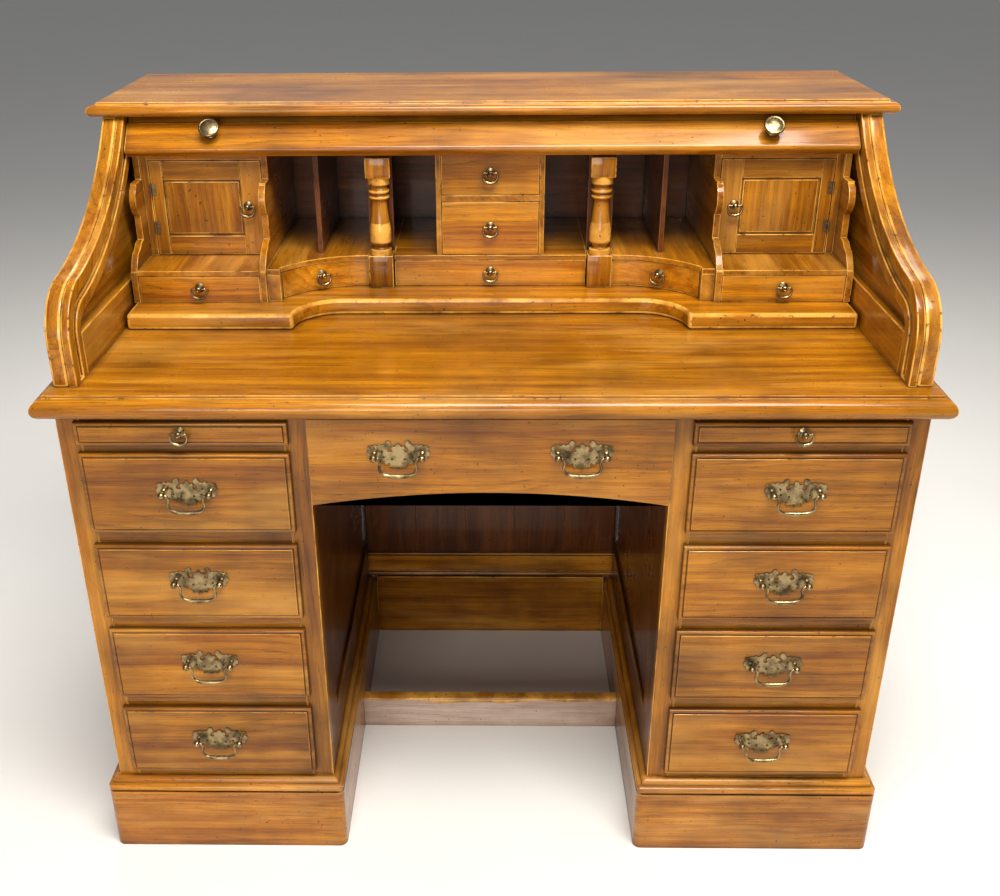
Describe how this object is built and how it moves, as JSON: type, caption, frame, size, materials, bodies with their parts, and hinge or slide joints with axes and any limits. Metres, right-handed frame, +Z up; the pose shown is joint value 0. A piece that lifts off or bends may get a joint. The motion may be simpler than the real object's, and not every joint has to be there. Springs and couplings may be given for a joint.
{
  "type": "roll top desk",
  "caption": "Roll top desk: drawer pedestals on plinths, arched kneehole drawer, writing slides, S-shaped roll section with tambour, fitted gallery and brass handles.",
  "frame": {"origin": "on the floor, at the centre of the desk's footprint box", "axes": "+X along the desk's length, to the right of a person sitting at it; +Y towards the back; +Z up"},
  "size_m": [1.196, 0.687, 1.082],
  "materials": {
    "polished_oak": "waxed and polished, warm golden brown",
    "dark_oak": "unpolished dark oak",
    "aged_brass": "aged, darkened brass"
  },
  "bodies": {
    "case": {"desktop": "polished_oak", "left_pedestal": "polished_oak", "right_pedestal": "polished_oak", "left_plinth": "polished_oak", "right_plinth": "polished_oak", "kneehole_back": "polished_oak", "foot_rail": "polished_oak", "left_roll_side": "polished_oak", "right_roll_side": "polished_oak", "top_board": "polished_oak", "roll_back": "polished_oak", "gallery_case": "polished_oak", "gallery_base": "polished_oak", "gallery_columns": "polished_oak", "drawer_runners": "dark_oak", "tambour_slats": "dark_oak"},
    "tambour_upper": {"tambour_middle_slat": "polished_oak"},
    "tambour_lead": {"tambour_lead_rail": "polished_oak", "tambour_knobs": "aged_brass"},
    "centre_drawer": {"centre_drawer": "polished_oak"},
    "left_drawer_1": {"left_drawer_1": "polished_oak"},
    "left_drawer_2": {"left_drawer_2": "polished_oak"},
    "left_drawer_3": {"left_drawer_3": "polished_oak"},
    "left_drawer_4": {"left_drawer_4": "polished_oak"},
    "right_drawer_1": {"right_drawer_1": "polished_oak"},
    "right_drawer_2": {"right_drawer_2": "polished_oak"},
    "right_drawer_3": {"right_drawer_3": "polished_oak"},
    "right_drawer_4": {"right_drawer_4": "polished_oak"},
    "left_slide": {"left_slide": "polished_oak"},
    "right_slide": {"right_slide": "polished_oak"},
    "left_door": {"left_door": "polished_oak"},
    "right_door": {"right_door": "polished_oak"},
    "left_small_drawer": {"left_small_drawer": "polished_oak"},
    "right_small_drawer": {"right_small_drawer": "polished_oak"},
    "left_curved_drawer": {"left_curved_drawer": "polished_oak"},
    "right_curved_drawer": {"right_curved_drawer": "polished_oak"},
    "upper_stack_drawer": {"upper_stack_drawer": "polished_oak"},
    "lower_stack_drawer": {"lower_stack_drawer": "polished_oak"},
    "wide_drawer": {"wide_drawer": "polished_oak"},
    "left_bail_1": {"left_bail_1": "aged_brass"},
    "left_bail_2": {"left_bail_2": "aged_brass"},
    "left_bail_3": {"left_bail_3": "aged_brass"},
    "left_bail_4": {"left_bail_4": "aged_brass"},
    "right_bail_1": {"right_bail_1": "aged_brass"},
    "right_bail_2": {"right_bail_2": "aged_brass"},
    "right_bail_3": {"right_bail_3": "aged_brass"},
    "right_bail_4": {"right_bail_4": "aged_brass"},
    "centre_left_bail": {"centre_left_bail": "aged_brass"},
    "centre_right_bail": {"centre_right_bail": "aged_brass"},
    "left_slide_ring": {"left_slide_ring": "aged_brass"},
    "right_slide_ring": {"right_slide_ring": "aged_brass"},
    "left_door_ring": {"left_door_ring": "aged_brass"},
    "right_door_ring": {"right_door_ring": "aged_brass"},
    "left_small_ring": {"left_small_ring": "aged_brass"},
    "right_small_ring": {"right_small_ring": "aged_brass"},
    "left_curved_ring": {"left_curved_ring": "aged_brass"},
    "right_curved_ring": {"right_curved_ring": "aged_brass"},
    "upper_stack_ring": {"upper_stack_ring": "aged_brass"},
    "lower_stack_ring": {"lower_stack_ring": "aged_brass"},
    "wide_ring": {"wide_ring": "aged_brass"}
  },
  "joints": [
    {"name": "tambour_roll", "type": "hinge", "parent": "case", "child": "tambour_upper", "pos_m": [0, -0.29596, 1.35979], "axis": [-1, 0, 0], "range_deg": [0, 42]},
    {"name": "tambour_lead_turn", "type": "hinge", "parent": "tambour_upper", "child": "tambour_lead", "pos_m": [0, 0.1102, 1.01662], "axis": [1, 0, 0], "range_deg": [0, 85.7]},
    {"name": "centre_drawer_slide", "type": "slide", "parent": "case", "child": "centre_drawer", "axis": [0, -1, 0], "range_m": [0, 0.35]},
    {"name": "left_drawer_1_slide", "type": "slide", "parent": "case", "child": "left_drawer_1", "axis": [0, -1, 0], "range_m": [0, 0.4]},
    {"name": "left_drawer_2_slide", "type": "slide", "parent": "case", "child": "left_drawer_2", "axis": [0, -1, 0], "range_m": [0, 0.4]},
    {"name": "left_drawer_3_slide", "type": "slide", "parent": "case", "child": "left_drawer_3", "axis": [0, -1, 0], "range_m": [0, 0.4]},
    {"name": "left_drawer_4_slide", "type": "slide", "parent": "case", "child": "left_drawer_4", "axis": [0, -1, 0], "range_m": [0, 0.4]},
    {"name": "right_drawer_1_slide", "type": "slide", "parent": "case", "child": "right_drawer_1", "axis": [0, -1, 0], "range_m": [0, 0.4]},
    {"name": "right_drawer_2_slide", "type": "slide", "parent": "case", "child": "right_drawer_2", "axis": [0, -1, 0], "range_m": [0, 0.4]},
    {"name": "right_drawer_3_slide", "type": "slide", "parent": "case", "child": "right_drawer_3", "axis": [0, -1, 0], "range_m": [0, 0.4]},
    {"name": "right_drawer_4_slide", "type": "slide", "parent": "case", "child": "right_drawer_4", "axis": [0, -1, 0], "range_m": [0, 0.4]},
    {"name": "left_writing_slide", "type": "slide", "parent": "case", "child": "left_slide", "axis": [0, -1, 0], "range_m": [0, 0.3]},
    {"name": "right_writing_slide", "type": "slide", "parent": "case", "child": "right_slide", "axis": [0, -1, 0], "range_m": [0, 0.3]},
    {"name": "left_door_hinge", "type": "hinge", "parent": "case", "child": "left_door", "pos_m": [-0.5186, 0.0567, 0.924], "axis": [0, 0, -1], "range_deg": [0, 90]},
    {"name": "right_door_hinge", "type": "hinge", "parent": "case", "child": "right_door", "pos_m": [0.5186, 0.0567, 0.924], "axis": [0, 0, 1], "range_deg": [0, 90]},
    {"name": "left_small_drawer_slide", "type": "slide", "parent": "case", "child": "left_small_drawer", "axis": [0, -1, 0], "range_m": [0, 0.2]},
    {"name": "right_small_drawer_slide", "type": "slide", "parent": "case", "child": "right_small_drawer", "axis": [0, -1, 0], "range_m": [0, 0.2]},
    {"name": "left_curved_drawer_slide", "type": "slide", "parent": "case", "child": "left_curved_drawer", "axis": [0, -1, 0], "range_m": [0, 0.14]},
    {"name": "right_curved_drawer_slide", "type": "slide", "parent": "case", "child": "right_curved_drawer", "axis": [0, -1, 0], "range_m": [0, 0.14]},
    {"name": "upper_stack_drawer_slide", "type": "slide", "parent": "case", "child": "upper_stack_drawer", "axis": [0, -1, 0], "range_m": [0, 0.14]},
    {"name": "lower_stack_drawer_slide", "type": "slide", "parent": "case", "child": "lower_stack_drawer", "axis": [0, -1, 0], "range_m": [0, 0.14]},
    {"name": "wide_drawer_slide", "type": "slide", "parent": "case", "child": "wide_drawer", "axis": [0, -1, 0], "range_m": [0, 0.14]},
    {"name": "left_bail_1_swing", "type": "hinge", "parent": "left_drawer_1", "child": "left_bail_1", "pos_m": [-0.4085, -0.33752, 0.63525], "axis": [-1, 0, 0], "range_deg": [0, 90]},
    {"name": "left_bail_2_swing", "type": "hinge", "parent": "left_drawer_2", "child": "left_bail_2", "pos_m": [-0.4085, -0.33752, 0.49375], "axis": [-1, 0, 0], "range_deg": [0, 90]},
    {"name": "left_bail_3_swing", "type": "hinge", "parent": "left_drawer_3", "child": "left_bail_3", "pos_m": [-0.4085, -0.33752, 0.35225], "axis": [-1, 0, 0], "range_deg": [0, 90]},
    {"name": "left_bail_4_swing", "type": "hinge", "parent": "left_drawer_4", "child": "left_bail_4", "pos_m": [-0.4085, -0.33752, 0.21075], "axis": [-1, 0, 0], "range_deg": [0, 90]},
    {"name": "right_bail_1_swing", "type": "hinge", "parent": "right_drawer_1", "child": "right_bail_1", "pos_m": [0.4085, -0.33752, 0.63525], "axis": [-1, 0, 0], "range_deg": [0, 90]},
    {"name": "right_bail_2_swing", "type": "hinge", "parent": "right_drawer_2", "child": "right_bail_2", "pos_m": [0.4085, -0.33752, 0.49375], "axis": [-1, 0, 0], "range_deg": [0, 90]},
    {"name": "right_bail_3_swing", "type": "hinge", "parent": "right_drawer_3", "child": "right_bail_3", "pos_m": [0.4085, -0.33752, 0.35225], "axis": [-1, 0, 0], "range_deg": [0, 90]},
    {"name": "right_bail_4_swing", "type": "hinge", "parent": "right_drawer_4", "child": "right_bail_4", "pos_m": [0.4085, -0.33752, 0.21075], "axis": [-1, 0, 0], "range_deg": [0, 90]},
    {"name": "centre_left_bail_swing", "type": "hinge", "parent": "centre_drawer", "child": "centre_left_bail", "pos_m": [-0.1215, -0.33652, 0.691], "axis": [-1, 0, 0], "range_deg": [0, 90]},
    {"name": "centre_right_bail_swing", "type": "hinge", "parent": "centre_drawer", "child": "centre_right_bail", "pos_m": [0.1215, -0.33652, 0.691], "axis": [-1, 0, 0], "range_deg": [0, 90]},
    {"name": "left_slide_ring_swing", "type": "hinge", "parent": "left_slide", "child": "left_slide_ring", "pos_m": [-0.4085, -0.3325, 0.723], "axis": [-1, 0, 0], "range_deg": [0, 90]},
    {"name": "right_slide_ring_swing", "type": "hinge", "parent": "right_slide", "child": "right_slide_ring", "pos_m": [0.4085, -0.3325, 0.723], "axis": [-1, 0, 0], "range_deg": [0, 90]},
    {"name": "left_door_ring_swing", "type": "hinge", "parent": "left_door", "child": "left_door_ring", "pos_m": [-0.372, 0.0495, 0.926], "axis": [-1, 0, 0], "range_deg": [0, 90]},
    {"name": "right_door_ring_swing", "type": "hinge", "parent": "right_door", "child": "right_door_ring", "pos_m": [0.372, 0.0495, 0.926], "axis": [-1, 0, 0], "range_deg": [0, 90]},
    {"name": "left_small_ring_swing", "type": "hinge", "parent": "left_small_drawer", "child": "left_small_ring", "pos_m": [-0.439, -0.0345, 0.8229], "axis": [-1, 0, 0], "range_deg": [0, 90]},
    {"name": "right_small_ring_swing", "type": "hinge", "parent": "right_small_drawer", "child": "right_small_ring", "pos_m": [0.439, -0.0345, 0.8229], "axis": [-1, 0, 0], "range_deg": [0, 90]},
    {"name": "left_curved_ring_swing", "type": "hinge", "parent": "left_curved_drawer", "child": "left_curved_ring", "pos_m": [-0.25806, 0.03198, 0.8229], "axis": [-0.8949, -0.4462, 0], "range_deg": [0, 90]},
    {"name": "right_curved_ring_swing", "type": "hinge", "parent": "right_curved_drawer", "child": "right_curved_ring", "pos_m": [0.25806, 0.03198, 0.8229], "axis": [-0.8949, 0.4462, 0], "range_deg": [0, 90]},
    {"name": "upper_stack_ring_swing", "type": "hinge", "parent": "upper_stack_drawer", "child": "upper_stack_ring", "pos_m": [0, 0.048, 0.9767], "axis": [-1, 0, 0], "range_deg": [0, 90]},
    {"name": "lower_stack_ring_swing", "type": "hinge", "parent": "lower_stack_drawer", "child": "lower_stack_ring", "pos_m": [0, 0.048, 0.8935], "axis": [-1, 0, 0], "range_deg": [0, 90]},
    {"name": "wide_ring_swing", "type": "hinge", "parent": "wide_drawer", "child": "wide_ring", "pos_m": [0, 0.0465, 0.8229], "axis": [-1, 0, 0], "range_deg": [0, 90]}
  ],
  "couplings": [
    {"joint": "tambour_lead_turn", "follows": "tambour_roll", "ratio": 2.04}
  ]
}
